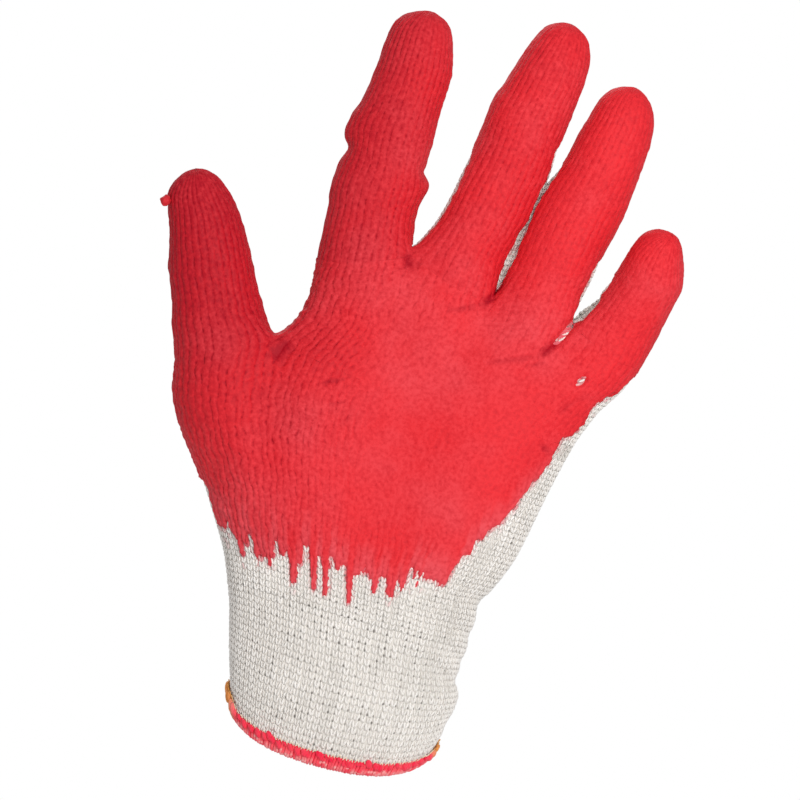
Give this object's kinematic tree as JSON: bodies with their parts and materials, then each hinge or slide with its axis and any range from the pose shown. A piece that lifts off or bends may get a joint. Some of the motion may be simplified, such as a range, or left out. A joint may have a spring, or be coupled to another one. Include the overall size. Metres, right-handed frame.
{
  "type": "latex coated grip glove",
  "caption": "Seamless knit work glove for the left hand with a rubber-dipped palm and fingers, a bare knit cuff and an overlocked hem.",
  "frame": {"origin": "centre of the wrist opening, where the hand goes in", "axes": "+Z from the wrist to the middle fingertip, the palm faces -Y, the thumb is on the -X side"},
  "size_m": [0.1527, 0.0451, 0.2284],
  "materials": {
    "knit_yarn": "matt off-white cotton knit",
    "latex": "red latex with a low sheen, wrinkled along the knit",
    "hem_yarn": "red overlock yarn with yellow ends"
  },
  "bodies": {
    "root": {"knit_wrist_cuff": "knit_yarn", "knit_five_finger_body": "knit_yarn", "knit_four_finger_body": "knit_yarn", "knit_thumb": "knit_yarn", "knit_index_finger": "knit_yarn", "knit_middle_finger": "knit_yarn", "knit_ring_finger": "knit_yarn", "knit_little_finger": "knit_yarn", "latex_coat": "latex", "overlock_hem": "hem_yarn", "thumb_yarn_end": "latex"}
  },
  "joints": []
}
